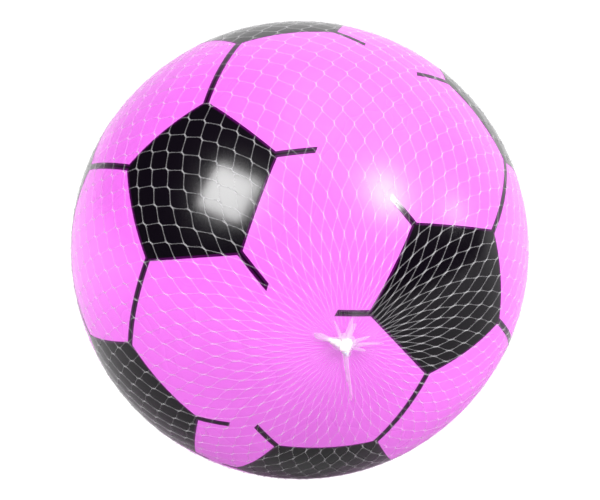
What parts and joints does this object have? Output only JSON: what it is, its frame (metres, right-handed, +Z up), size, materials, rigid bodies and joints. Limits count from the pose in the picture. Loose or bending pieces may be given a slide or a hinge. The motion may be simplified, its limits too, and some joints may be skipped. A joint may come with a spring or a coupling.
{
  "type": "play ball in a net sleeve",
  "caption": "Inflated play ball with a football print, a plugged valve and a gathered mesh net sleeve that it turns in.",
  "frame": {"origin": "centre of the ball, which is also the centre of the bounding box", "axes": "+Z up, +Y along the net sleeve's axis from the front gather to the rear gather, +X to the right seen from the front"},
  "size_m": [0.2246, 0.2332, 0.2241],
  "materials": {
    "skin": "glossy pink vinyl rubber, slightly translucent",
    "ink": "thin glossy black ink film",
    "valve": "soft satin rubber, paler than the skin",
    "plug": "satin white moulded plastic",
    "net": "translucent white extruded plastic",
    "net_bead": "milky white melted plastic"
  },
  "bodies": {
    "ball": {"ball_skin": "skin", "left_half_print": "ink", "right_half_print": "ink", "valve_body": "valve"},
    "net": {"net_sleeve": "net", "front_gather_bead": "net_bead", "rear_gather_bead": "net_bead"},
    "plug": {"valve_plug": "plug"}
  },
  "joints": [
    {"name": "net_turn", "type": "hinge", "parent": "ball", "child": "net", "pos_m": [0, 0, 0], "axis": [0, 1, 0], "continuous": true},
    {"name": "plug_pull", "type": "slide", "parent": "ball", "child": "plug", "axis": [0.4857, 0.5633, 0.6684], "range_m": [0, 0.014]}
  ]
}
